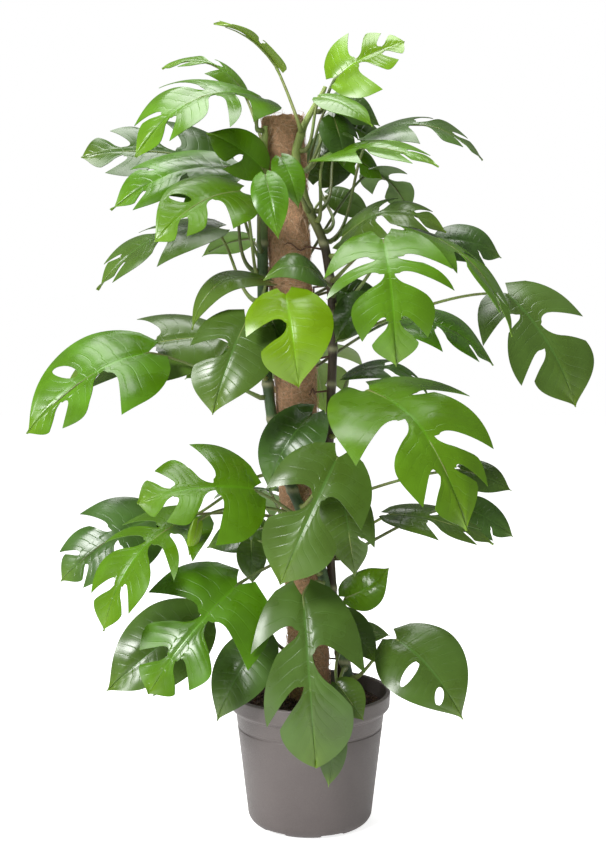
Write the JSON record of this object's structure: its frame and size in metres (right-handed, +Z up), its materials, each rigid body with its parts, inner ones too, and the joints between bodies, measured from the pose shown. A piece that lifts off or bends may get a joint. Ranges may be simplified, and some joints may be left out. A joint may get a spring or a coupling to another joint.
{
  "type": "potted climbing houseplant",
  "caption": "Potted mini monstera: slit green leaves on long petioles, climbing stems on a coir pole, potting soil, and a tapered round nursery pot with a stepped lip.",
  "frame": {"origin": "centre of the pot's flat underside", "axes": "+Z up along the pot's axis, -Y towards the plant's front, +X to the right seen from the front"},
  "size_m": [0.5703, 0.3878, 0.8265],
  "materials": {
    "pot_plastic": "satin taupe",
    "potting_soil": "rough, crumbly",
    "coir": "matte fibre",
    "stake_wood": "matte",
    "green_stem": "satin grey-green",
    "brown_stem": "satin brown",
    "young_leaf": "glossy yellow-green",
    "fresh_leaf": "glossy green",
    "mature_leaf": "satin grey-green",
    "shaded_leaf": "satin dark green"
  },
  "bodies": {
    "root": {"pot": "pot_plastic", "soil": "potting_soil", "coir_pole": "coir", "pole_stake": "stake_wood", "front_vine": "green_stem", "right_vine": "brown_stem", "back_vine": "green_stem", "leaf_01": "young_leaf", "leaf_02": "young_leaf", "leaf_03": "fresh_leaf", "leaf_04": "fresh_leaf", "leaf_05": "fresh_leaf", "leaf_06": "shaded_leaf", "leaf_07": "fresh_leaf", "leaf_08": "fresh_leaf", "leaf_09": "fresh_leaf", "leaf_10": "fresh_leaf", "leaf_11": "fresh_leaf", "leaf_12": "mature_leaf", "leaf_13": "fresh_leaf", "leaf_14": "mature_leaf", "leaf_15": "fresh_leaf", "leaf_16": "mature_leaf", "leaf_17": "mature_leaf", "leaf_18": "fresh_leaf", "leaf_19": "fresh_leaf", "leaf_20": "mature_leaf", "leaf_21": "mature_leaf", "leaf_22": "fresh_leaf", "leaf_23": "shaded_leaf", "leaf_24": "fresh_leaf", "leaf_25": "mature_leaf", "leaf_26": "mature_leaf", "leaf_27": "mature_leaf", "leaf_28": "mature_leaf", "leaf_29": "young_leaf", "leaf_30": "mature_leaf", "leaf_31": "mature_leaf", "leaf_32": "fresh_leaf", "leaf_33": "mature_leaf", "leaf_34": "mature_leaf", "leaf_35": "mature_leaf", "leaf_36": "mature_leaf", "leaf_37": "mature_leaf", "leaf_38": "mature_leaf", "leaf_39": "fresh_leaf", "leaf_40": "fresh_leaf", "leaf_41": "fresh_leaf", "leaf_42": "mature_leaf", "leaf_43": "fresh_leaf", "leaf_44": "mature_leaf", "leaf_45": "mature_leaf", "leaf_46": "mature_leaf", "leaf_47": "mature_leaf", "leaf_48": "shaded_leaf", "leaf_49": "mature_leaf", "leaf_50": "mature_leaf", "leaf_51": "mature_leaf", "leaf_52": "mature_leaf"}
  },
  "joints": []
}
